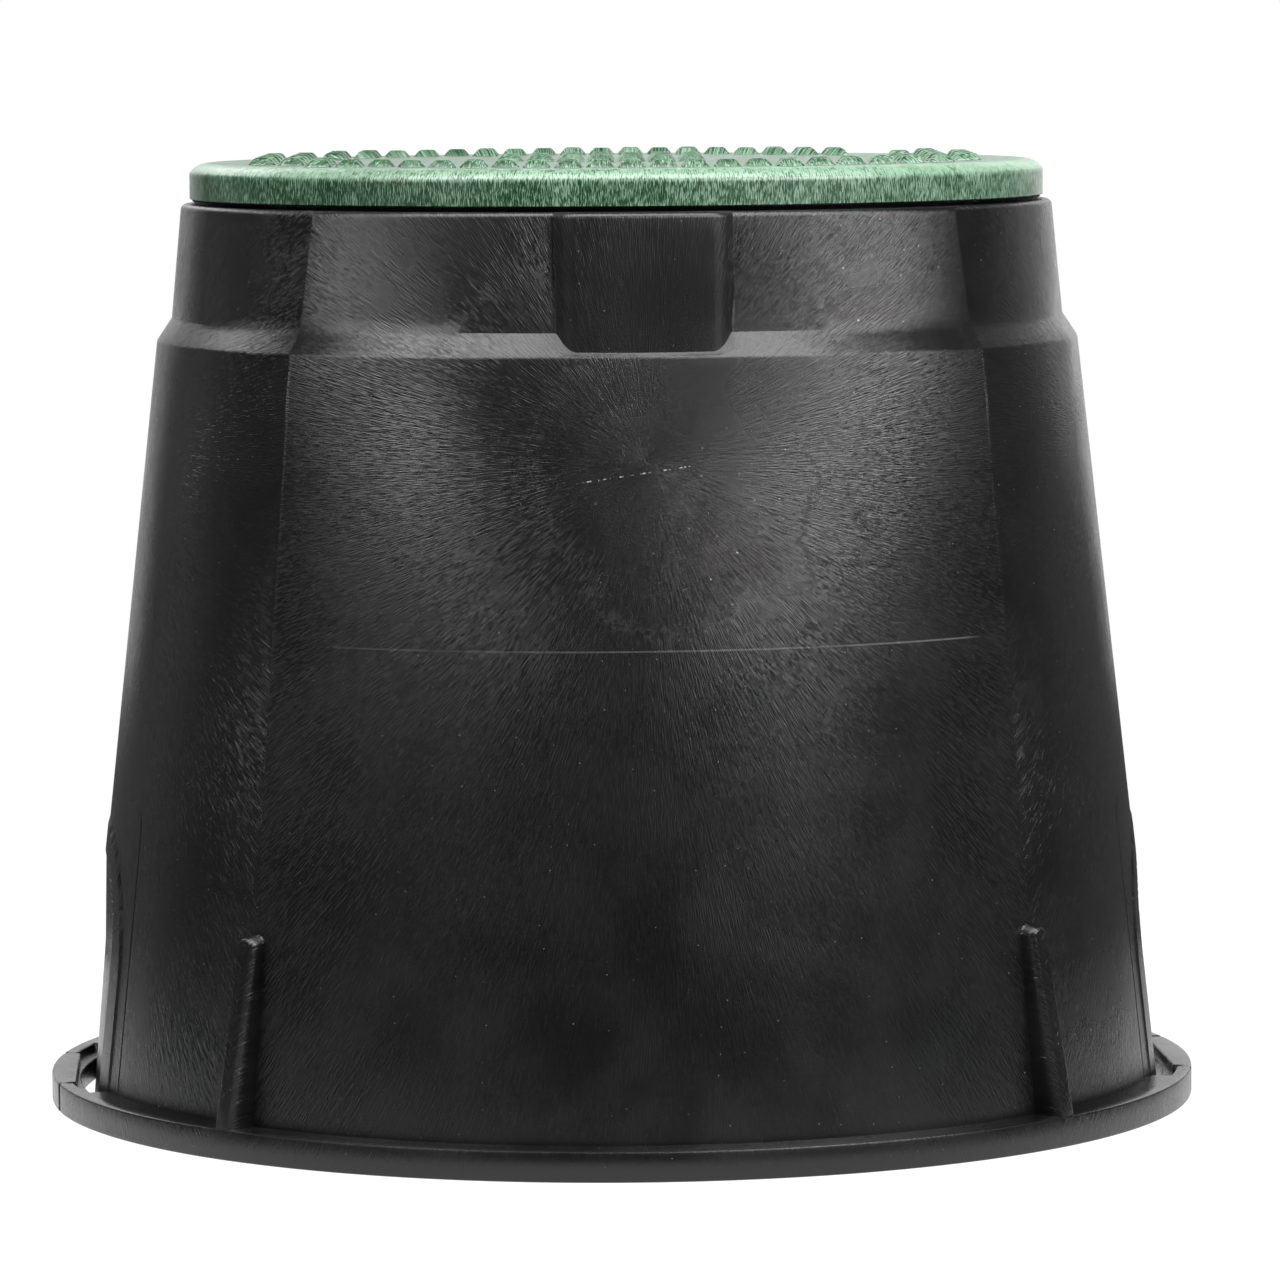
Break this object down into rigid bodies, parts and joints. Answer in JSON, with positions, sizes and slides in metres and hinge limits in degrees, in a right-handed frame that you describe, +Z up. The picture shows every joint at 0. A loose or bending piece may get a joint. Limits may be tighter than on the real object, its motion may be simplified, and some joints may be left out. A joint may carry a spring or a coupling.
{
  "type": "irrigation valve box",
  "caption": "Round flared in-ground valve box of black plastic with a base flange, pipe knock-outs, gusset ribs and a studded green lift-off lid.",
  "frame": {"origin": "centre of the flange's underside, on the ground", "axes": "+Z up along the box axis; the front boss faces -Y; the pipe knock-outs face -X and +X"},
  "size_m": [0.33, 0.3298, 0.271],
  "materials": {
    "black_plastic": "satin moulded, streaked recycled plastic",
    "green_plastic": "satin moulded, mottled green"
  },
  "bodies": {
    "box": {"box_body": "black_plastic"},
    "cover": {"lid": "green_plastic"}
  },
  "joints": [
    {"name": "lid_lift", "type": "slide", "parent": "box", "child": "cover", "axis": [0, 0, 1], "range_m": [0, 0.15]}
  ]
}
